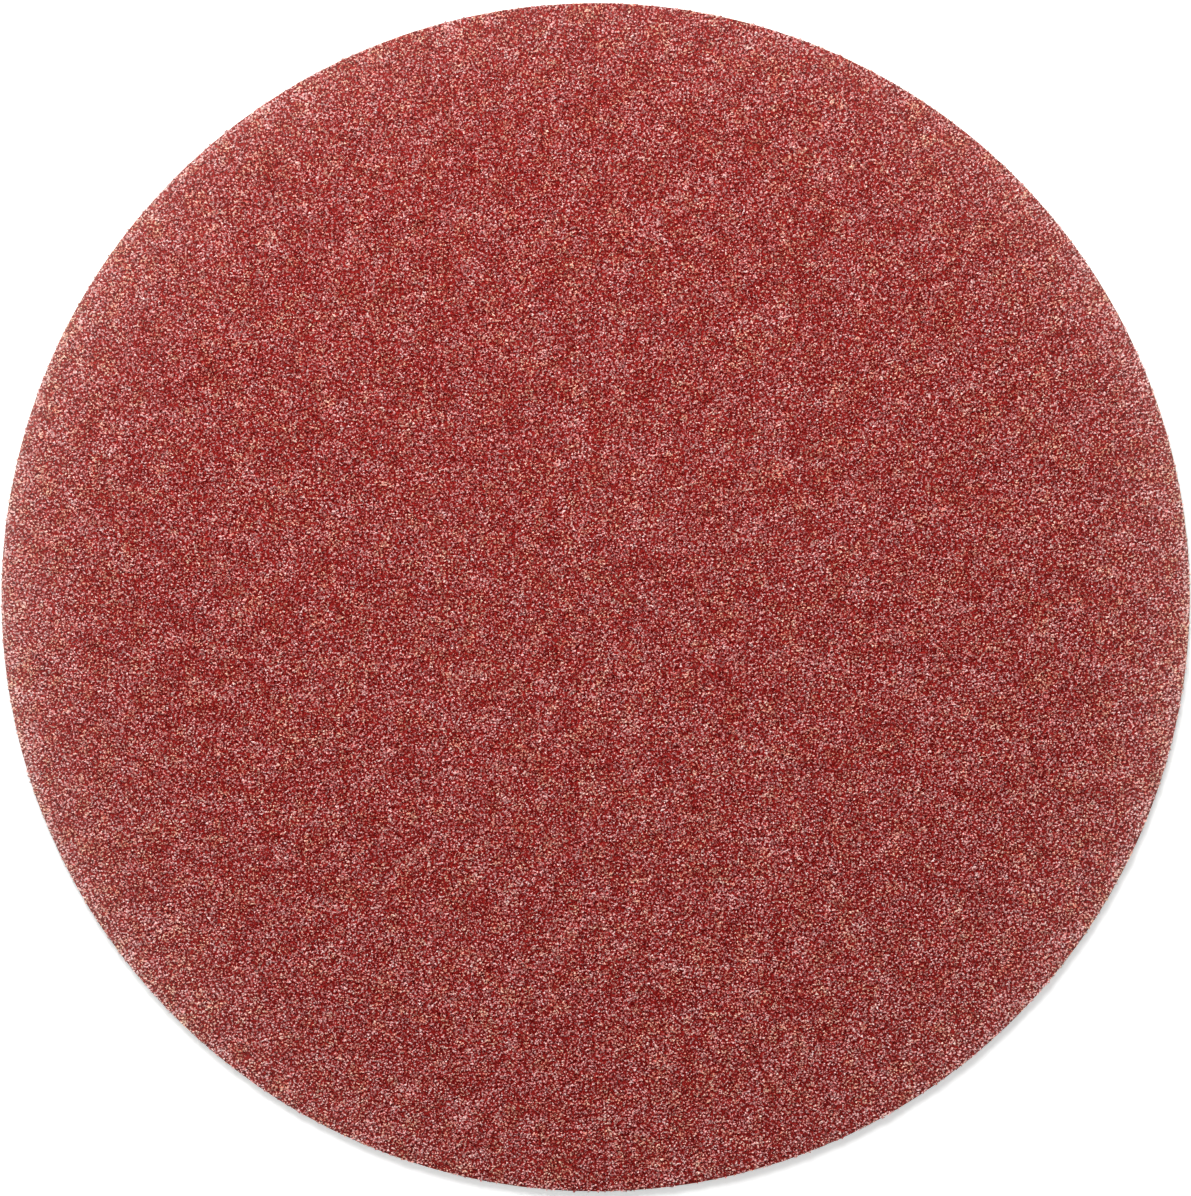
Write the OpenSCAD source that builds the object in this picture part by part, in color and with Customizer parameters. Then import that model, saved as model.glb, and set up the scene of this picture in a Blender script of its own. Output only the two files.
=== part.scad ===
// Round sanding pad: a plain flat disc without holes, die-cut in one stroke from a
// laminated web. The plies, from the top, are a coat of coarse grit bonded in resin, a
// stiff paper backing, and a looped fleece that grips the hooks of a sander's plate.
// The origin lies on the disc's axis, in the plane that the loops rest on. The grit
// faces up (+Z). Sizes are in millimetres.

/* [Disc] */
// Diameter of the die that cuts the disc
disc_d = 125; // [75:1:200]
// Width of the band along the rim that the die bends down
rim_w = 1.6; // [0.6:0.1:4]
// How far the outermost edge of that band is bent down
rim_drop = 0.14; // [0.02:0.01:0.3]

/* [Grit coat] */
// Depth of the cured resin bed between the paper and the foot of the grains
resin_h = 0.16; // [0.06:0.01:0.4]
// Height of the grain tips above the resin bed
grain_h = 0.24; // [0.05:0.01:0.8]
// Radius that handling and chipping leave on the grit's top corner
chip_r = 0.12; // [0.02:0.01:0.3]

/* [Paper backing] */
// Thickness of the paper
paper_t = 0.3; // [0.1:0.01:0.6]

/* [Loop fleece] */
// Thickness of the knitted ground that is bonded to the paper
ground_t = 0.15; // [0.08:0.01:0.4]
// Length of the loops below the knitted ground
pile_h = 0.7; // [0.5:0.05:2]
// How far the cut edge of the loops is pinched in by the die
pile_in = 0.22; // [0:0.01:0.6]
// Radius on the lower corner of the loops, where they fray
pile_r = 0.2; // [0.05:0.01:0.4]

/* [Hidden] */
// Facets of one turn, and straight steps in each curved stretch of a section
turn_fn = 180;
rim_steps = 8;
corner_steps = 5;
// Shortest straight step that a section may have
least_step = 0.01;

disc_r = disc_d / 2;

// Levels of the plies at the middle of the disc, from the loops up
ground_z = pile_h;
paper_z = ground_z + ground_t;
coat_z = paper_z + paper_t;
top_z = coat_z + resin_h + grain_h;

// Fall of the bent rim at radius r: none inside the band, then growing as a parabola
function rim_fall(r) = rim_drop * pow(max(0, r - disc_r + rim_w) / rim_w, 2);

// One ply boundary from the axis to radius r_end, at level z before the rim bends down.
// Every boundary has its steps at the same radii, so that neighbouring plies fit
// face to face.
function boundary(z, r_end = disc_r) = concat(
    [[0, z]],
    [for (i = [0:rim_steps])
        let (r = disc_r - rim_w + rim_w * i / rim_steps)
        if (r < r_end - least_step) [r, z - rim_fall(r)]],
    [[r_end, z - rim_fall(r_end)]]);

function reversed(line) = [for (i = [len(line) - 1:-1:0]) line[i]];

// Corner of radius r about centre c, from angle a to angle b
function corner(c, r, a, b) = [
    for (i = [0:corner_steps])
        let (t = a + (b - a) * i / corner_steps)
        c + r * [cos(t), sin(t)]];

module turned(section) {
    rotate_extrude($fn = turn_fn) polygon(section);
}

// Grains standing in cured resin. The solid fills the coat up to its grain tips, and its
// cut edge is upright, with a chipped top corner.
module grit_coat() {
    chip = min(chip_r, (resin_h + grain_h) * 0.8);
    edge_z = top_z - rim_fall(disc_r - chip);
    color([0.62, 0.22, 0.2])
        turned(concat(
            boundary(coat_z),
            corner([disc_r - chip, edge_z - chip], chip, 0, 90),
            reversed(boundary(top_z, disc_r - chip))));
}

// Stiff paper that carries the grit, sheared square at its edge
module paper_backing() {
    color([0.86, 0.74, 0.62])
        turned(concat(boundary(paper_z), reversed(boundary(coat_z))));
}

// Knitted ground with its loops. The ground is cut flush with the paper, and the loops
// draw in towards their free ends.
module loop_fleece() {
    fray = min(pile_r, (pile_h - rim_drop) * 0.8);
    foot_r = disc_r - pile_in - fray;
    color([0.9, 0.89, 0.85])
        turned(concat(
            [[0, 0]],
            corner([foot_r, fray], fray, -90, 0),
            [[disc_r, ground_z - rim_fall(disc_r)]],
            reversed(boundary(paper_z))));
}

grit_coat();
paper_backing();
loop_fleece();
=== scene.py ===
# %% [markdown]
# A round sanding pad is die-cut from a web of three plies: grit bonded in resin, a stiff
# paper, and a looped fleece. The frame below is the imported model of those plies. This
# script keeps the paper as it is and gives it a finish, and it dresses the other two:
# the grit becomes a bed of resin with nearly two hundred thousand single grains standing
# in it, and the fleece becomes a soft mass with its loops.

import math

import bmesh
import bpy
import numpy as np
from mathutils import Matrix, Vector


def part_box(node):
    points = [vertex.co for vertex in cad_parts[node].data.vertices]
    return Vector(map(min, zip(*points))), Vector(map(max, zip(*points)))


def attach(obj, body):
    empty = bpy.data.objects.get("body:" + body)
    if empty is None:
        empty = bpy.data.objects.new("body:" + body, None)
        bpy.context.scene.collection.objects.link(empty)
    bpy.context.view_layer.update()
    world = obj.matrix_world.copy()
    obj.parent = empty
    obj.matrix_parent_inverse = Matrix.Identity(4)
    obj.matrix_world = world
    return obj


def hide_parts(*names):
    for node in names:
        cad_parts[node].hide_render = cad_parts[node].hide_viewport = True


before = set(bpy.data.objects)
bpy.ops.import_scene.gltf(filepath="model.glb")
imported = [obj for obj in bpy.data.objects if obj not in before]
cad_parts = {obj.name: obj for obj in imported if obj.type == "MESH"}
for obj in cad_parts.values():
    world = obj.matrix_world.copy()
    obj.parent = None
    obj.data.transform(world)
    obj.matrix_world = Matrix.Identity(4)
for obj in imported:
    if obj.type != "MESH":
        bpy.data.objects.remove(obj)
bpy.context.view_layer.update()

TURN = 2 * math.pi
MM = 0.001
SAME = 1e-7  # Two points nearer than this count as one
DICE = np.random.default_rng(60)

# %% [markdown]
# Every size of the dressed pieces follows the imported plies. A ply's box gives its levels,
# and the outer radius is the die's. The die bends the rim down a little, so the lowest
# corner of the grit lies under the top of the paper by that drop. The width of the bent
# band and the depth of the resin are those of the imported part's source.

# %% Measure the plies
disc_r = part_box("paper_backing")[1][0]
coat_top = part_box("grit_coat")[1][2]
paper_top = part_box("paper_backing")[1][2]
fleece_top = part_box("loop_fleece")[1][2]
rim_drop = paper_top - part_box("grit_coat")[0][2]
rim_w = 1.6 * MM
resin_h = 0.16 * MM
tips_h = coat_top - paper_top - resin_h


def rim_fall(r):
    """How far the rim is bent down at radius r: the drop times the square of the share of
    the bent band that lies inside r."""
    return rim_drop * np.clip((r - disc_r + rim_w) / rim_w, 0, None) ** 2


print(f"disc {2 * disc_r / MM:.1f} mm across, coat {(coat_top - paper_top) / MM:.2f} mm deep")

# %% [markdown]
# The shapes below are worked out as whole arrays of points and triangles. One helper puts
# such arrays into a mesh, names the piece, lets it ride on the disc's only body and hides
# the ply of the imported model that it stands for.

# %% Make a piece from arrays
WAVES = 48
WAVE_LENGTHS = (0.6, 1.8)


def new_piece(name, points, faces, node, smooth=False):
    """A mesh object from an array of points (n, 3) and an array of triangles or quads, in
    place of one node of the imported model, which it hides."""
    me = bpy.data.meshes.new(name)
    corners = faces.shape[1]
    me.vertices.add(len(points))
    me.vertices.foreach_set("co", points.astype(np.float32).ravel())
    me.loops.add(faces.size)
    me.loops.foreach_set("vertex_index", faces.astype(np.int32).ravel())
    me.polygons.add(len(faces))
    me.polygons.foreach_set("loop_start", np.arange(0, faces.size, corners, dtype=np.int32))
    me.update(calc_edges=True)
    (me.shade_smooth if smooth else me.shade_flat)()
    ob = bpy.data.objects.new(name, me)
    bpy.context.scene.collection.objects.link(ob)
    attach(ob, "root")
    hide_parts(node)
    print(f"{name}: {len(faces) * (corners - 2)} triangles")
    return ob


def lathe(profile, turns):
    """Points and quads of a profile (k, 2) of radius and height, carried round Z in so many
    steps. Its first and last points lie on the axis, where close_poles merges them."""
    angle = np.arange(turns) * TURN / turns
    points = np.stack([
        profile[:, None, 0] * np.cos(angle),
        profile[:, None, 0] * np.sin(angle),
        np.broadcast_to(profile[:, None, 1], (len(profile), turns)),
    ], axis=2)
    row, step = np.meshgrid(np.arange(len(profile) - 1), np.arange(turns), indexing="ij")
    after = (step + 1) % turns
    quads = np.stack([row * turns + step, row * turns + after,
                      (row + 1) * turns + after, (row + 1) * turns + step], axis=2)
    return points.reshape(-1, 3), quads.reshape(-1, 4)


def close_poles(ob):
    """Merges the points that lie on each other on the axis, which closes the two poles."""
    bm = bmesh.new()
    bm.from_mesh(ob.data)
    bmesh.ops.remove_doubles(bm, verts=bm.verts, dist=SAME)
    bmesh.ops.recalc_face_normals(bm, faces=bm.faces)
    bm.to_mesh(ob.data)
    bm.free()


def smooth_field(spots, size, seed):
    """A smooth random field of about unit spread on the disc: the sum of many cosines, each
    with its own direction, phase and length near size, times the root of 2 over their
    number."""
    dice = np.random.default_rng(seed)
    way = dice.uniform(0, TURN, WAVES)
    count = 1 / (size * dice.uniform(*WAVE_LENGTHS, WAVES))
    phase = dice.uniform(0, TURN, WAVES)
    along = spots[:, :1] * np.cos(way) + spots[:, 1:2] * np.sin(way)
    return np.sqrt(2 / WAVES) * np.cos(TURN * along * count + phase).sum(axis=1)


# %% [markdown]
# Materials here are formulas on the surface. A small class wraps a socket, so that an
# expression such as 1 - mask * 0.5 adds its Math nodes by itself. Colours go through Mix
# nodes, because a Math node would turn them grey.

# %% Write shader maths as expressions
NOISE_SHIFT = (0.4137, 0.3071, 0.2219)


class Value:
    """A socket that can be added, multiplied and so on with numbers and other sockets."""

    def __init__(self, tree, socket):
        self.tree = tree
        self.socket = socket

    def math(self, operation, other, swap=False, clamp=False):
        """A Math node on this value and another, in this order unless swapped, its result
        held between 0 and 1 if clamped."""
        pair = [other, self] if swap else [self, other]
        return self.tree.node("ShaderNodeMath", {"operation": operation, "use_clamp": clamp},
                              dict(enumerate(pair))).out()

    def __add__(self, other):
        return self.math("ADD", other)

    def __radd__(self, other):
        return self.math("ADD", other, swap=True)

    def __sub__(self, other):
        return self.math("SUBTRACT", other)

    def __rsub__(self, other):
        return self.math("SUBTRACT", other, swap=True)

    def __mul__(self, other):
        return self.math("MULTIPLY", other)

    def __rmul__(self, other):
        return self.math("MULTIPLY", other, swap=True)

    def clamp(self):
        """The same value, held between 0 and 1."""
        return self.math("ADD", 0.0, clamp=True)


class Made:
    """A new node, whose outputs come back as values."""

    def __init__(self, tree, node):
        self.tree = tree
        self.node = node

    def out(self, name=0):
        """One output as a value, by its name or number, or else the first."""
        return Value(self.tree, self.node.outputs[name])


class Tree:
    """The nodes of a new material or world, started with its one shader."""

    def __init__(self, block, shader="Principled BSDF"):
        block.use_nodes = True
        self.block = block
        self.nodes = block.node_tree.nodes
        self.links = block.node_tree.links
        self.shader = self.nodes[shader]

    def fill(self, node, inputs):
        """Links the inputs that are values, and sets those that are plain numbers."""
        for name, value in inputs.items():
            if isinstance(value, Value):
                self.links.new(value.socket, node.inputs[name])
            else:
                node.inputs[name].default_value = value

    def node(self, kind, settings=None, inputs=None):
        """Adds a node: its settings first, then the values or links of its inputs."""
        node = self.nodes.new(kind)
        for name, value in (settings or {}).items():
            setattr(node, name, value)
        self.fill(node, inputs or {})
        return Made(self, node)

    def place(self):
        """Where a spot lies in the object's own frame, in metres."""
        return self.node("ShaderNodeTexCoord").out("Object")

    def noise(self, size, detail=2.0, stretch=(1, 1, 1)):
        """Noise on object coordinates with lumps of about size metres. It is moved off the
        origin, where the grids of all its details share their lines."""
        at = self.node("ShaderNodeMapping", {}, {
            "Vector": self.place(), "Location": NOISE_SHIFT, "Scale": stretch})
        return self.node("ShaderNodeTexNoise", {}, {
            "Vector": at.out(), "Scale": 1 / size, "Detail": detail}).out("Fac")

    def attribute(self, name):
        """The number that a piece keeps for each face or point under this name."""
        return self.node("ShaderNodeAttribute", {"attribute_name": name}).out("Fac")

    def mix(self, a, b, factor, blend="MIX"):
        """Colour a turned into colour b by factor. A Mix node has a socket of each name for
        numbers, for vectors and for colours, so those for colours go by their place."""
        made = self.node("ShaderNodeMix", {"data_type": "RGBA", "blend_type": blend})
        self.fill(made.node, {0: factor, 6: a, 7: b})
        return made.out(2)

    def finish(self, **inputs):
        """Fills the shader's sockets, whose names are written with _ for a space."""
        self.fill(self.shader, {name.replace("_", " "): v for name, v in inputs.items()})
        return self.block


# %% [markdown]
# The photograph is taken from straight above. The camera stands far back with a long lens,
# which keeps the rim round, and the disc fills the frame's width. Blender counts the 36 mm
# sensor along the frame's long side, so the distance follows from the frame's height.
# DISC_PX is the disc's middle, across and down, and its radius in the photo's pixels.

# %% Set the camera
FRAME_PX = (1191, 1196)
DISC_PX = (595.6, 597.2, 595.2)
LENS, SENSOR = 100.0, 36.0

pixel = disc_r / DISC_PX[2]
camera_h = FRAME_PX[1] * pixel * LENS / SENSOR
camera = bpy.data.objects.new("camera", bpy.data.cameras.new("camera"))
camera.data.lens = LENS
camera.data.sensor_width = SENSOR
camera.location = ((FRAME_PX[0] / 2 - DISC_PX[0]) * pixel,
                   (DISC_PX[1] - FRAME_PX[1] / 2) * pixel, coat_top + camera_h)
bpy.context.scene.collection.objects.link(camera)
bpy.context.scene.camera = camera
print(f"camera {camera_h:.3f} m above the grit, {pixel / MM:.4f} mm to a pixel")

# %% [markdown]
# Under the grains lies a film of dark red resin, which shows only in the gaps. It is a
# lathe shape that fills the ply to a little under the resin's packed level, with small
# waves. At the rim it is cut upright, and the die has drawn its edge in unevenly.

# %% Make the resin bed
BED_TURNS = 240
UNDER_POINTS, RIM_POINTS, OVER_POINTS = 5, 7, 24
BED_SINK = 0.4
BED_WAVE = 0.12
BED_WAVE_SIZE = 3 * MM
DRAWN_IN = (0.01, 0.11)  # In millimetres


def resin_profile():
    """Radius and height round the bed's section, from the axis below to the axis above."""
    under = np.concatenate([np.linspace(0, disc_r - rim_w, UNDER_POINTS),
                            np.linspace(disc_r - rim_w, disc_r, RIM_POINTS)[1:]])
    over = np.concatenate([np.linspace(disc_r, disc_r - rim_w, RIM_POINTS),
                           np.linspace(disc_r - rim_w, 0, OVER_POINTS)[1:]])
    return np.concatenate([
        np.stack([under, paper_top - rim_fall(under)], axis=1),
        np.stack([over, paper_top + resin_h - rim_fall(over)], axis=1)])


points, quads = lathe(resin_profile(), BED_TURNS)
above = points[:, 2] > paper_top - rim_fall(np.hypot(points[:, 0], points[:, 1])) + resin_h / 2
wave = smooth_field(points[above, :2], BED_WAVE_SIZE, seed=5).clip(-2, 2)
points[above, 2] -= resin_h * (BED_SINK + BED_WAVE * wave)
rim = np.hypot(points[:, 0], points[:, 1]) > disc_r - SAME
points[rim, :2] *= 1 - DICE.uniform(*DRAWN_IN, (rim.sum(), 1)) * MM / disc_r
resin_bed = new_piece("resin_bed", points, quads, "grit_coat")
close_poles(resin_bed)

# %% [markdown]
# The grains are crushed mineral, about 0.3 mm across. The field that throws them on the
# web stands them on end, so they point upwards. Each grain here is a lopsided splinter
# with three faces and a foot. They lie on a honeycomb that is shaken hard, so that they
# crowd in some places and leave gaps in others, as grains do.

# %% Place the grains
PITCH = 0.272 * MM
SHAKE = 0.55
OVERHANG = 0.03 * MM
SIZE_SPREAD = 0.16
SIZE_RANGE = (0.65, 1.5)


def shaken_honeycomb(pitch, shake):
    """Centres of a honeycomb over the disc, each moved at random by up to shake pitches
    along X and along Y."""
    rows = np.arange(-disc_r, disc_r, pitch * math.sqrt(0.75))
    cols = np.arange(-disc_r, disc_r, pitch)
    y, x = np.meshgrid(rows, cols, indexing="ij")
    x = x + (np.arange(len(rows)) % 2)[:, None] * pitch / 2
    spots = np.stack([x.ravel(), y.ravel()], axis=1)
    spots += DICE.uniform(-shake, shake, spots.shape) * pitch
    return spots[np.hypot(spots[:, 0], spots[:, 1]) < disc_r + OVERHANG]


spots = shaken_honeycomb(PITCH, SHAKE)
grain_count = len(spots)
size = np.exp(DICE.normal(0, SIZE_SPREAD, grain_count)).clip(*SIZE_RANGE)
print(f"{grain_count} grains")


# %% [markdown]
# A grain's shape is worked out as a foot of three corners and one tip. The feet stand in
# the resin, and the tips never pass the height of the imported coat. At the rim the die has
# sheared the grains along the edge and chipped some of them, so their corners stop at the
# cut or a little inside it.

# %% Shape the grains
FOOT_R = 0.195 * MM
FOOT_REACH = (0.7, 1.25)
FOOT_YAW = 0.25
FOOT_DEEP = (0.1, 0.45)
TIP_BETA = (2.0, 1.3)
TIP_FROM = 0.75
TIP_LEAN = 0.07 * MM
CUT_WAVER = (-0.10, 0.20)  # In millimetres


def grain_points(spots, size):
    """Four corners for each grain: three round the foot at uneven distances and angles, and
    a tip that leans away from their middle. A foot's corner lies at a share of the resin's
    depth. The tip lies at a beta share of the way from TIP_FROM of that depth to the top
    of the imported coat."""
    n = len(spots)
    turn = DICE.uniform(0, TURN, (n, 1)) + np.arange(3) * TURN / 3
    turn = turn + DICE.normal(0, FOOT_YAW, (n, 3))
    reach = FOOT_R * size[:, None] * DICE.uniform(*FOOT_REACH, (n, 3))
    foot_z = paper_top + resin_h * DICE.uniform(*FOOT_DEEP, (n, 3))
    foot = np.stack([reach * np.cos(turn), reach * np.sin(turn), foot_z], axis=2)
    share = DICE.beta(*TIP_BETA, n)
    tip_z = paper_top + resin_h * TIP_FROM + (tips_h + resin_h * (1 - TIP_FROM)) * share
    tip = np.stack([*DICE.normal(0, TIP_LEAN, (2, n)), tip_z], axis=1)[:, None]
    own = np.concatenate([foot, tip], axis=1)
    own[:, :, :2] += spots[:, None]
    return own


def seat(own):
    """Draws what passes a grain's own cut radius back to it, because the cut edge wavers by
    the grains that broke away or stand proud of it, and bends the grains down with the
    rim."""
    r = np.hypot(own[:, :, 0], own[:, :, 1])
    cut = disc_r + DICE.uniform(*CUT_WAVER, (len(r), 1)) * MM
    own[:, :, :2] *= np.minimum(1, cut / r)[:, :, None]
    own[:, :, 2] -= rim_fall(np.minimum(r, disc_r))
    return own


own = seat(grain_points(spots, size))
print(f"highest tip {(own[:, 3, 2].max() - paper_top) / MM:.2f} mm above the paper")

# %% [markdown]
# The grit's red comes from the size resin over grains that are brown-red themselves. A
# broken face is pale pink, a face under a thick film is deep red, and all between lie on
# one scale. So each face gets a tone, 0 for the deepest and 1 for the palest, and the
# finish turns the tone into a colour. Tones drift over the disc in soft streaks along the
# web. Towards the cut edge the faces are painted paler as painted rim light, least along
# the lower edge; in a narrow band at the edge this is partly grains bruised by the die. A
# few faces anywhere are painted nearly as pale, as painted highlights.

# %% Give every face its tone
FACE_SPREAD = 0.26
GRAIN_SPREAD = 0.11
MEAN_TONE = 0.599
STREAK = 0.031
STREAK_SIZES = (0.8, 1.8, 5)  # In millimetres
WEB = (0.4, 1)
# Painted rim light: the faces near the rim are painted paler, in a wide band and in one that
# hugs the edge, which is partly grains bruised by the die.
RIM_LIGHT_DEPTH = 4.8 * MM
RIM_LIGHT_ROUND = (0.22, -0.06, 0.065, 0.115)
HUG_DEPTH = 0.5 * MM
HUG_ROUND = (0.40, -0.08, 0.0, 0.36)
# How much of that painted rim light and bruising goes into the tone and into the pale share.
RIM_LIGHT_AND_BRUISE_TONE = 1.3
RIM_LIGHT_AND_BRUISE_SHARE = 0.33
# Painted highlights: a few faces anywhere are painted nearly as pale as glints.
GLINT_SHARE = 0.025
GLINT_PALE = (0.3, 0.7)
MOST_LIGHT_AND_BRUISE = 0.95


def around(way, level, cosine, sine, double):
    """A strength for each direction: a level, plus shares of the direction's cosine, of its
    sine and of the cosine of twice its angle."""
    return level + cosine * np.cos(way) + sine * np.sin(way) + double * np.cos(2 * way)


def rim_light_and_bruise(spots):
    """Painted rim light, partly bruising: how much paler a spot is made for its place. One
    exponential of painted light reaches far in from the cut edge, weakest where the edge
    faces down the picture, and one that hugs the edge, strongest on the left and the right,
    is partly grains bruised by the die and partly painted light."""
    depth = disc_r - np.hypot(spots[:, 0], spots[:, 1])
    way = np.arctan2(spots[:, 1], spots[:, 0])
    wide = around(way, *RIM_LIGHT_ROUND) * np.exp(-depth / RIM_LIGHT_DEPTH)
    return wide + around(way, *HUG_ROUND) * np.exp(-depth / HUG_DEPTH)


def grain_tones(spots):
    """A tone for each of the four faces of each grain: a bell curve for the grain, streaks
    of several sizes, the painted rim light and bruising, and a wider bell curve for the face."""
    n = len(spots)
    web = spots * WEB
    streak = sum(smooth_field(web, wide * MM, seed) for seed, wide in enumerate(STREAK_SIZES))
    grain = MEAN_TONE + DICE.normal(0, GRAIN_SPREAD, n) + STREAK * streak
    grain = grain + RIM_LIGHT_AND_BRUISE_TONE * rim_light_and_bruise(spots)
    return grain[:, None] + DICE.normal(0, FACE_SPREAD, (n, 4))


def grain_light_and_bruise(spots):
    """Pale share on each face: a third of the painted rim light and bruising, spread as
    unevenly as exponential chance, and a high share of painted highlight on a few faces."""
    shape = (len(spots), 4)
    painted_light_and_bruise = rim_light_and_bruise(spots)[:, None] * RIM_LIGHT_AND_BRUISE_SHARE * DICE.exponential(1, shape)
    glint = DICE.uniform(0, 1, shape) < GLINT_SHARE
    return np.where(glint, DICE.uniform(*GLINT_PALE, shape), painted_light_and_bruise).clip(0, MOST_LIGHT_AND_BRUISE)


# Each face's share of painted rim light, partly bruising, and of painted highlights.
tones = grain_tones(spots)
painted_light_and_bruise = grain_light_and_bruise(spots)
print(f"tone {tones.mean():.2f} on average, dust {painted_light_and_bruise.mean():.3f}")

# %% [markdown]
# Each grain's four faces also get places on a map of their own. Unfolded, they make one
# triangle with the foot in its middle, and two such triangles share a square cell of the
# map. With it a picture of the colours holds every grain apart.

# %% Put the grains into meshes
FACES = np.array([[0, 1, 3], [1, 2, 3], [2, 0, 3], [2, 1, 0]])
NET = np.array([[[0, 1], [1, 1], [0, 2]], [[1, 1], [1, 0], [2, 0]],
                [[1, 0], [0, 1], [0, 0]], [[1, 0], [1, 1], [0, 1]]]) / 2
NET_MARGIN = 0.12


def cell_map(ob, count):
    """Lays each grain's unfolded faces out in half a square cell of the piece's map."""
    middle = NET.mean(axis=(0, 1))
    net = middle + (1 - NET_MARGIN) * (NET - middle)
    both = np.stack([net, 1 - net])
    cell = np.arange(count) // 2
    side = math.ceil(math.sqrt(count / 2))
    corner = np.stack([cell % side, cell // side], axis=1)
    uv = (corner[:, None, None] + both[np.arange(count) % 2]) / side
    layer = ob.data.uv_layers.new(name="OFBake")
    layer.uv.foreach_set("vector", uv.astype(np.float32).ravel())


def note(ob, name, domain, numbers):
    """Keeps one number for each face or point of a piece under a name."""
    layer = ob.data.attributes.new(name, "FLOAT", domain)
    layer.data.foreach_set("value", numbers.astype(np.float32).ravel())


def grain_piece(name, chosen):
    """One piece from the chosen grains, with the tones, dust and gloss of their faces."""
    count = int(chosen.sum())
    faces = (FACES[None] + 4 * np.arange(count)[:, None, None]).reshape(-1, 3)
    ob = new_piece(name, own[chosen].reshape(-1, 3), faces, "grit_coat")
    cell_map(ob, count)
    note(ob, "tone", "FACE", tones[chosen])
    note(ob, "painted_light_and_bruise", "FACE", painted_light_and_bruise[chosen])
    note(ob, "gloss", "FACE", DICE.uniform(0, 1, (count, 4)))
    return ob


SIEVES = ("grains_dust", "grains_finest", "grains_fine", "grains_middle", "grains_coarse",
          "grains_coarsest")
sieve = np.argsort(np.argsort(size)) * len(SIEVES) // grain_count
grain_pieces = [grain_piece(name, sieve == i) for i, name in enumerate(SIEVES)]


# %% [markdown]
# The scale of reds runs from deep to pale while its hue stays put, so its stops are
# worked out by a rule: on the screen's scale of 0 to 255, red lies 70 to 80 above the
# level, and green and blue lie 30 to 40 below it. Two such scales, a purer and a duller
# one, turn into each other in clouds, and some clouds are warmer. Crystals finer than a
# face break it up, so a Voronoi pattern adds a random step to the tone in each of its
# small cells. The film is matt, so it reflects next to nothing.

# %% Finish the grit
# The pale of painted rim light and painted highlights, and of grains bruised at the edge.
LIGHT_AND_BRUISE_PALE = (1.0, 0.64, 0.57, 1)
LEVELS = (28, 58, 116, 172, 220, 256)
PURE = (78, -37, -40)
DULL = (69, -30, -33)
WARM = (1.0, 0.99, 0.78, 1)
CRYSTAL = 0.105 * MM
CRYSTAL_STEP = 1.13
CLOUD = 1.5 * MM
WARM_CLOUD = 1.6 * MM
CLOUD_CONTRAST = 4
WARM_FROM = 0.45
ROUGH, ROUGH_MORE = 0.55, 0.3
MATT = 0.01
RESIN_DEEP = (0.06, 0.001, 0.001, 1)
RESIN_PALE = (0.40, 0.023, 0.020, 1)
RESIN_CRYSTAL = 0.12 * MM
RESIN_BUMP = 0.15 * MM
RESIN_RIM_LIGHT_AND_BRUISE = 0.15


def on_screen(level, offsets):
    """The linear colour of a screen level with one offset for each channel, by the screen's
    own curve: a straight foot, then a power of 2.4."""
    share = (np.array(offsets) + level).clip(0, 255) / 255
    return np.where(share <= 0.04045, share / 12.92, ((share + 0.055) / 1.055) ** 2.4)


def film_reds(t, tone, offsets):
    """A ramp of film reds over the tone, all with the same offsets from their level."""
    made = t.node("ShaderNodeValToRGB", {}, {"Fac": tone})
    stops = made.node.color_ramp.elements
    for i, level in enumerate(LEVELS):
        stop = stops[i] if i < 2 else stops.new(1.0)
        stop.position = i / (len(LEVELS) - 1)
        stop.color = (*on_screen(level, offsets), 1)
    return made.out("Color")


def crystals(t, size):
    """A random number from 0 to 1 in each small cell of about size metres."""
    made = t.node("ShaderNodeTexVoronoi", {}, {"Vector": t.place(), "Scale": 1 / size})
    return t.node("ShaderNodeSeparateColor", {}, {"Color": made.out("Color")}).out("Red")


def grit_material():
    """Grains under film: a face's tone plus its crystals' steps picks a red from two ramps,
    clouds mix the ramps and warm them, and the pale of painted rim light, partly bruising,
    and of painted highlights covers the face's share."""
    t = Tree(bpy.data.materials.new("grit"))
    tone = t.attribute("tone") + (crystals(t, CRYSTAL) - 0.5) * CRYSTAL_STEP
    pure = film_reds(t, tone, PURE)
    dull = film_reds(t, tone, DULL)
    clouds = ((t.noise(CLOUD, 1.0) - 0.5) * CLOUD_CONTRAST + 0.5).clamp()
    film = t.mix(pure, dull, clouds)
    warmth = ((t.noise(WARM_CLOUD, 1.0) - WARM_FROM) * CLOUD_CONTRAST).clamp()
    warm = t.mix(film, WARM, warmth, "MULTIPLY")
    # Painted rim light, partly bruising, and painted highlights mix in this pale.
    colour = t.mix(warm, LIGHT_AND_BRUISE_PALE, t.attribute("painted_light_and_bruise"))
    rough = ROUGH + t.attribute("gloss") * ROUGH_MORE
    return t.finish(Base_Color=colour, Roughness=rough, Specular_IOR_Level=MATT)


def resin_material():
    """Resin between the grains: each small cell has a red between the deep and the pale
    one, the pale of painted rim light, partly bruising, covers its share, and fine noise
    makes it uneven."""
    t = Tree(bpy.data.materials.new("resin"))
    film = t.mix(RESIN_DEEP, RESIN_PALE, crystals(t, RESIN_CRYSTAL))
    colour = t.mix(film, LIGHT_AND_BRUISE_PALE, t.attribute("painted_light_and_bruise"))
    bump = t.node("ShaderNodeBump", {}, {
        "Strength": 0.4, "Distance": 0.04 * MM, "Height": t.noise(RESIN_BUMP, 2.0)})
    return t.finish(Base_Color=colour, Roughness=0.5, Specular_IOR_Level=MATT,
                    Normal=bump.out())


grit = grit_material()
for piece in grain_pieces:
    piece.data.materials.append(grit)
resin_bed.data.materials.append(resin_material())
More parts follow.
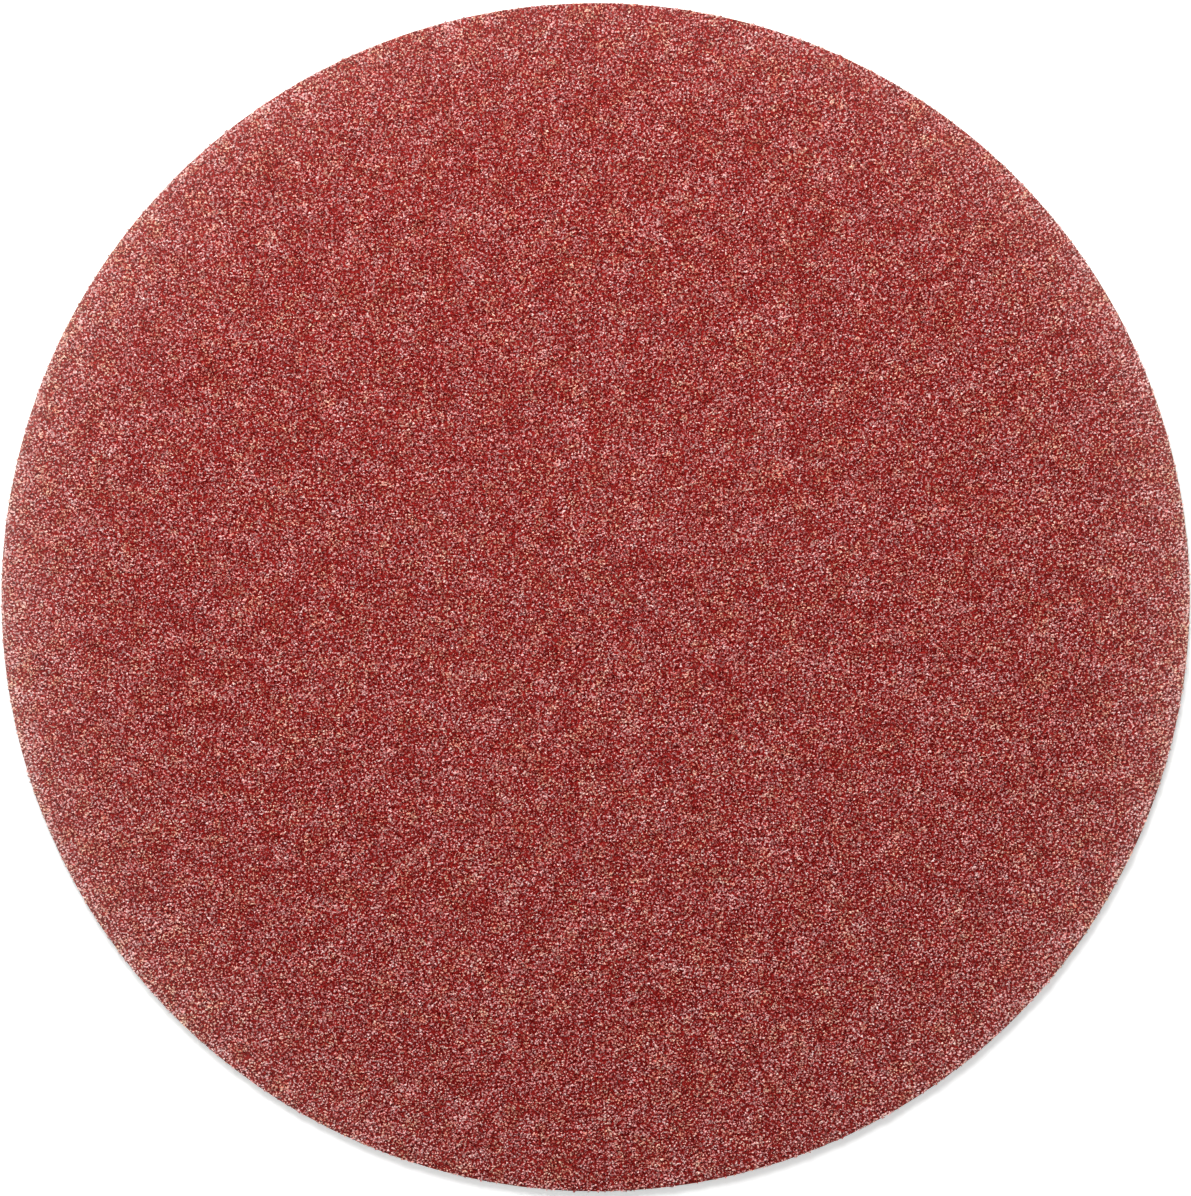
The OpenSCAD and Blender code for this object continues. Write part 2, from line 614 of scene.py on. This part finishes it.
# The resin gets the painted rim light and bruising too.
corners = np.empty(3 * len(resin_bed.data.vertices), dtype=np.float32)
resin_bed.data.vertices.foreach_get("co", corners)
note(resin_bed, "painted_light_and_bruise", "POINT", RESIN_RIM_LIGHT_AND_BRUISE * rim_light_and_bruise(corners.reshape(-1, 3)))
print(f"grit finish: {len(grit.node_tree.nodes)} nodes")

# %% [markdown]
# The paper is of a buff kind: long pale fibres pressed flat, in a
# weak glue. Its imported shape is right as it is, so it only gets this finish. It shows as a
# thin line in the cut edge.

# %% Finish the paper
PAPER_DARK = (0.42, 0.26, 0.17, 1)
PAPER_PALE = (0.78, 0.60, 0.44, 1)
PAPER_FIBRE = 0.5 * MM
PAPER_CLOUD = 3 * MM


def paper_material():
    """Buff paper: fine fibres along two directions, at 2.2 times their swing, and slow
    clouds at 0.8 times theirs, add up to a tone between the dark and the pale colour."""
    t = Tree(bpy.data.materials.new("paper"))
    along_x = t.noise(PAPER_FIBRE, 3.0, (1, 8, 8))
    along_y = t.noise(PAPER_FIBRE, 3.0, (8, 1, 8))
    fibres = (along_x + along_y) * 0.5
    tone = ((fibres - 0.5) * 2.2 + (t.noise(PAPER_CLOUD, 2.0) - 0.5) * 0.8 + 0.5).clamp()
    colour = t.mix(PAPER_DARK, PAPER_PALE, tone)
    bump = t.node("ShaderNodeBump", {}, {
        "Strength": 0.5, "Distance": 0.03 * MM, "Height": fibres})
    return t.finish(Base_Color=colour, Roughness=0.78 + tone * 0.15, Normal=bump.out())


paper = bpy.data.objects["paper_backing"]
paper.data.materials.clear()
paper.data.materials.append(paper_material())
print(f"paper finish: {len(paper.active_material.node_tree.nodes)} nodes")

# %% [markdown]
# The fleece is a brushed nylon knit. Its ground is laminated to the paper, and its loops
# are brushed up into a soft mass with single loops standing out of it. The mass is a closed
# form here, cut flush with the paper above and drawn in below, where the die pinched the
# loops and they fray. The hidden side is a guess, because the photo doesn't show it.

# %% Make the mass of the fleece
FLEECE_TURNS = 300
BRUSHED_POINTS, GLUED_POINTS = 40, 6
MASS_Z = 0.22 * MM
MASS_WAVE = 0.05 * MM
MASS_WAVE_SIZE = 3 * MM
UNDER_IN = 0.6 * MM
PINCHED_IN = np.array([0.44, 0.32, 0.2, 0.07, 0.0]) * MM
PINCHED_Z = np.array([0.26, 0.36, 0.47, 0.6, 0.7]) * MM


def fleece_profile():
    """Radius and height round the section of the fleece, from the axis below, out along
    the brushed loops, up the pinched edge and back in under the paper."""
    drop = rim_fall(disc_r)
    under = np.linspace(0, disc_r - UNDER_IN, BRUSHED_POINTS)
    edge = disc_r - PINCHED_IN
    rise = PINCHED_Z - drop
    top = np.concatenate([np.linspace(disc_r, disc_r - rim_w, RIM_POINTS),
                          np.linspace(disc_r - rim_w, 0, GLUED_POINTS)[1:]])
    return np.concatenate([
        np.stack([under, np.full(len(under), MASS_Z)], axis=1),
        np.stack([edge, rise], axis=1),
        np.stack([top, fleece_top - rim_fall(top)], axis=1)])


points, quads = lathe(fleece_profile(), FLEECE_TURNS)
low = np.abs(points[:, 2] - MASS_Z) < SAME
wave = smooth_field(points[low, :2], MASS_WAVE_SIZE, seed=8).clip(-2, 2)
points[low, 2] += MASS_WAVE * wave
fleece_mass = new_piece("fleece_mass", points, quads, "loop_fleece", smooth=True)
close_poles(fleece_mass)

# %% [markdown]
# A loop is a bundle of fine filaments. Both its feet stand in the mass, and its crown
# reaches the plane that the pad rests on, or nearly. The brush has laid the loops over one
# way, more or less. There are thousands, so each is only a three-sided tube along the four
# points of an arch, closed at both feet. Those of the outermost row lie along the edge.

# %% Stand the loops in the fleece
LOOP_PITCH = 1.33 * MM
LOOP_SHAKE = 0.25
LOOP_SPAN = 1.0 * MM
SPAN_RANGE = (0.75, 1.1)
LAY = 0.8
LAY_SPREAD = 0.8
LEAN = (0.12, 0.06)  # Mean and spread, in millimetres
YARN_R = 0.11 * MM
FOOT_DEPTH = 0.14 * MM
CROWN_RANGE = (0.0, 0.1)  # In millimetres
CROWN_R = 0.75 * YARN_R
EDGE_STEP = 0.75 * MM
EDGE_IN = 0.52 * MM
EDGE_WAVER = 0.03 * MM
ARCH = np.array([[-0.5, 0.0], [-0.28, 1.0], [0.28, 1.0], [0.5, 0.0]])
RING_TILT = np.array([1.0, 0.5, -0.5, -1.0])
SIDES = 3


def loop_spots():
    """Middles and directions of the loops: a shaken honeycomb, and a row along the edge."""
    inner = shaken_honeycomb(LOOP_PITCH, LOOP_SHAKE)
    inner = inner[np.hypot(inner[:, 0], inner[:, 1]) < disc_r - 2 * EDGE_IN]
    turn = np.linspace(0, TURN, int(TURN * disc_r / EDGE_STEP), endpoint=False)
    edge_r = disc_r - EDGE_IN + DICE.normal(0, EDGE_WAVER, len(turn))
    edge = edge_r[:, None] * np.stack([np.cos(turn), np.sin(turn)], axis=1)
    way = np.concatenate([DICE.normal(LAY, LAY_SPREAD, len(inner)), turn + TURN / 4])
    return np.concatenate([inner, edge]), way


def loop_points(middles, way):
    """Rings of points round the four points of each arch: the arch runs along its way and
    leans aside, and a ring lies flat at a foot and stands steep at the crown, by its
    RING_TILT. No point goes below the plane that the pad rests on."""
    n = len(middles)
    span = LOOP_SPAN * DICE.uniform(*SPAN_RANGE, n)
    crown = DICE.uniform(*CROWN_RANGE, n) * MM + CROWN_R
    foot_z = MASS_Z + FOOT_DEPTH
    along = ARCH[:, 0] * span[:, None]
    z = foot_z - ARCH[:, 1] * (foot_z - crown)[:, None]
    lean = ARCH[:, 1] * DICE.normal(*LEAN, n)[:, None] * MM
    angle = np.arange(SIDES) * TURN / SIDES
    out = YARN_R * np.cos(angle)
    up = YARN_R * np.sin(angle)
    forth = np.stack([np.cos(way), np.sin(way)], axis=1)[:, None, None]
    aside = np.stack([-np.sin(way), np.cos(way)], axis=1)[:, None, None]
    flat = (middles[:, None, None] + along[:, :, None, None] * forth
            + (lean[:, :, None] + out)[..., None] * aside
            + (RING_TILT[:, None] * up)[None, :, :, None] * forth)
    height = z[:, :, None] + np.sqrt(1 - RING_TILT ** 2)[:, None] * up
    return np.concatenate([flat, height.clip(0, None)[..., None]], axis=3)


def tube_faces(steps, sides):
    """Triangles of one tube: two for each side of each step, and one to close each end."""
    step, side = np.meshgrid(np.arange(steps - 1), np.arange(sides), indexing="ij")
    first = (step * sides + side).ravel()
    beside = (step * sides + (side + 1) % sides).ravel()
    last = sides * steps
    return np.concatenate([np.stack([first, beside, beside + sides], axis=1),
                           np.stack([first, beside + sides, first + sides], axis=1),
                           [[2, 1, 0], [last - 3, last - 2, last - 1]]])


middles, ways = loop_spots()
rings = loop_points(middles, ways)
reach = np.hypot(rings[..., 0], rings[..., 1])
rings[..., :2] *= np.minimum(1, (disc_r - EDGE_IN / 2) / reach)[..., None]
first_points = len(ARCH) * SIDES * np.arange(len(rings))
tubes = tube_faces(len(ARCH), SIDES) + first_points[:, None, None]
fleece_loops = new_piece("fleece_loops", rings.reshape(-1, 3), tubes.reshape(-1, 3),
                         "loop_fleece", smooth=True)
print(f"{len(rings)} loops")


# %% [markdown]
# Nylon filaments are off-white and dull. The finish has the ribs of the knit, fibres that
# cross at random, and a slow change of tone where the glue has soaked in. A Wave node
# counts 20 radians to one unit, so its scale follows from the width of a rib.

# %% Finish the fleece
FLEECE_DARK = (0.50, 0.48, 0.43, 1)
FLEECE_PALE = (0.80, 0.79, 0.74, 1)
FLEECE_FIBRE = 0.25 * MM
FLEECE_CLOUD = 5 * MM
WALE = 1.8 * MM
WAVE_RADIANS = 20


def fleece_material():
    """Off-white knit: crossed fibres at twice their swing, slow clouds at half of theirs and
    a quarter of the wales add up to a tone between the dark and the pale colour. Fibres
    and wales also stand up."""
    t = Tree(bpy.data.materials.new("fleece"))
    along_x = t.noise(FLEECE_FIBRE, 3.0, (1, 6, 2))
    along_y = t.noise(FLEECE_FIBRE, 3.0, (6, 1, 2))
    fibres = (along_x + along_y) * 0.5
    wale = t.node("ShaderNodeTexWave", {"bands_direction": "X"}, {
        "Vector": t.place(), "Scale": TURN / (WAVE_RADIANS * WALE), "Distortion": 1.5,
        "Detail": 2.0, "Detail Scale": 4.0}).out("Fac")
    clouds = (t.noise(FLEECE_CLOUD, 2.0) - 0.5) * 0.5
    tone = ((fibres - 0.5) * 2 + clouds + wale * 0.25 + 0.4).clamp()
    colour = t.mix(FLEECE_DARK, FLEECE_PALE, tone)
    height = fibres * 0.6 + wale * 0.4
    bump = t.node("ShaderNodeBump", {}, {
        "Strength": 0.8, "Distance": 0.1 * MM, "Height": height})
    return t.finish(Base_Color=colour, Roughness=0.82 + fibres * 0.15, Normal=bump.out())


fleece = fleece_material()
for piece in (fleece_mass, fleece_loops):
    piece.data.materials.append(fleece)
print(f"fleece finish: {len(fleece.node_tree.nodes)} nodes")

# %% [markdown]
# The photograph has soft, even light with a little more of it from the top of the picture.
# So one near square lamp hangs over the picture's top and three far ones fill in round it,
# all white and at a plain level, at which a colour looks as it is written. A white world fills
# the shadows weakly. Where a camera or a reflection looks straight at that world it is full
# white, which keeps the background white without more light on the disc.

# %% Light the scene
WORLD_FILL = 0.12
LAMPS = (
    ("window", (-0.05, 0.2, 0.27), 0.16, 1.27),
    ("left_box", (-0.7, 0.1, 0.5), 0.4, 0.75),
    ("right_box", (0.7, 0.0, 0.5), 0.4, 0.3),
    ("ceiling", (0.0, 0.1, 1.0), 0.4, 0.1),
)


def area_light(name, at, size, power):
    """A soft square lamp at a place in metres, so many metres wide and turned to the disc,
    with its power in watts."""
    lamp = bpy.data.objects.new(name, bpy.data.lights.new(name, "AREA"))
    lamp.data.shape = "SQUARE"
    lamp.data.size = size
    lamp.data.energy = power
    lamp.location = at
    lamp.rotation_mode = "QUATERNION"
    lamp.rotation_quaternion = (-lamp.location).to_track_quat("-Z", "Y")
    bpy.context.scene.collection.objects.link(lamp)
    print(f"{name}: {power} W")


def looked_at(t):
    """1 where a camera, a reflection or glass looks straight at the surface, else 0."""
    path = t.node("ShaderNodeLightPath")
    seen = path.out("Is Camera Ray") + path.out("Is Glossy Ray")
    return (seen + path.out("Is Transmission Ray")).clamp()


for lamp in LAMPS:
    area_light(*lamp)

t = Tree(bpy.data.worlds.new("studio"), "Background")
bpy.context.scene.world = t.finish(
    Color=(1, 1, 1, 1), Strength=WORLD_FILL + looked_at(t) * (1 - WORLD_FILL))

# %% [markdown]
# The pad lies on a white table. Its colour alone would look grey, so it also glows, but only
# for the eyes that look at it and not as light on the pad. The glow grows away from the
# disc, so that the pad keeps its soft shadow and the table melts into the white behind it.

# %% Lay the floor
FLOOR_HALF = 3.0
SHADOW_R = 0.15
WHITE_R = 0.9
GLOW_NEAR = 0.5

floor_me = bpy.data.meshes.new("floor")
floor_me.from_pydata([(-FLOOR_HALF, -FLOOR_HALF, 0), (FLOOR_HALF, -FLOOR_HALF, 0),
                      (FLOOR_HALF, FLOOR_HALF, 0), (-FLOOR_HALF, FLOOR_HALF, 0)],
                     [], [(0, 1, 2, 3)])
floor = bpy.data.objects.new("floor", floor_me)
bpy.context.scene.collection.objects.link(floor)
t = Tree(bpy.data.materials.new("floor"))
apart = t.node("ShaderNodeVectorMath", {"operation": "LENGTH"}, {0: t.place()}).out("Value")
glow = t.node("ShaderNodeMapRange", {}, {
    "Value": apart, "From Min": SHADOW_R, "From Max": WHITE_R, "To Min": GLOW_NEAR}).out()
glow = t.mix((0, 0, 0, 1), (1, 1, 1, 1), glow)
glow = t.mix((0, 0, 0, 1), glow, looked_at(t))
floor_me.materials.append(t.finish(
    Base_Color=(0.85, 0.85, 0.85, 1), Roughness=0.9, Emission_Color=glow,
    Emission_Strength=1.0))
print(f"floor {2 * FLOOR_HALF:.0f} m across, full white from {WHITE_R} m out")

# %% [markdown]
# Standard is the view that shows colours as they are written.

# %% Finish
bpy.context.scene.view_settings.view_transform = "Standard"
